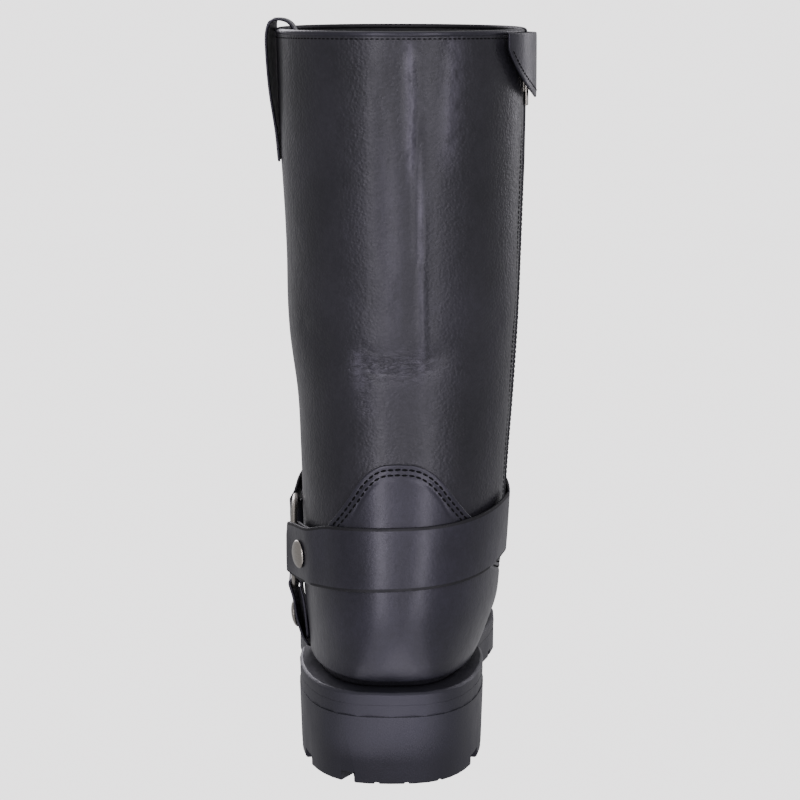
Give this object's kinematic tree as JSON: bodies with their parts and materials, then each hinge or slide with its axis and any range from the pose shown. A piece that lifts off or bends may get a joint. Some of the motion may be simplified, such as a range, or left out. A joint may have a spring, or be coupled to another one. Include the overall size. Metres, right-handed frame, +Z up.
{
  "type": "harness boot",
  "caption": "Tall black leather harness boot for the left foot, with a ring harness round the ankle, a medial zip, a pull loop and a rubber lug sole with a block heel.",
  "frame": {"origin": "on the floor, in the middle of the heel's flat resting face", "axes": "+Z up, +Y to the toe, +X to the medial side with the zip"},
  "size_m": [0.1275, 0.3048, 0.353],
  "materials": {
    "leather": "smooth semi-gloss full grain",
    "footbed": "matt lining leather",
    "rubber": "satin moulded rubber",
    "nickel": "polished nickel",
    "zip_tape": "woven tape with a nylon coil"
  },
  "bodies": {
    "boot": {"heel_block": "rubber", "outsole": "rubber", "midsole": "rubber", "insole": "footbed", "upper": "leather", "counter": "leather", "heel_strap": "leather", "instep_strap": "leather", "sole_strap": "leather", "rivet_heel": "nickel", "rivet_instep": "nickel", "rivet_sole": "nickel", "pull_loop": "leather", "zip": "zip_tape", "zip_slider": "nickel", "zip_flap": "leather"},
    "ring": {"harness_ring": "nickel"},
    "pull": {"zip_pull": "nickel"}
  },
  "joints": [
    {"name": "ring_turn", "type": "hinge", "parent": "boot", "child": "ring", "pos_m": [-0.0474, 0.04, 0.099], "axis": [-1, 0, 0], "continuous": true},
    {"name": "pull_swing", "type": "hinge", "parent": "boot", "child": "pull", "pos_m": [0.06304, 0.01798, 0.325], "axis": [-0.1833, -0.983, -0.0071], "range_deg": [0, 8]}
  ]
}
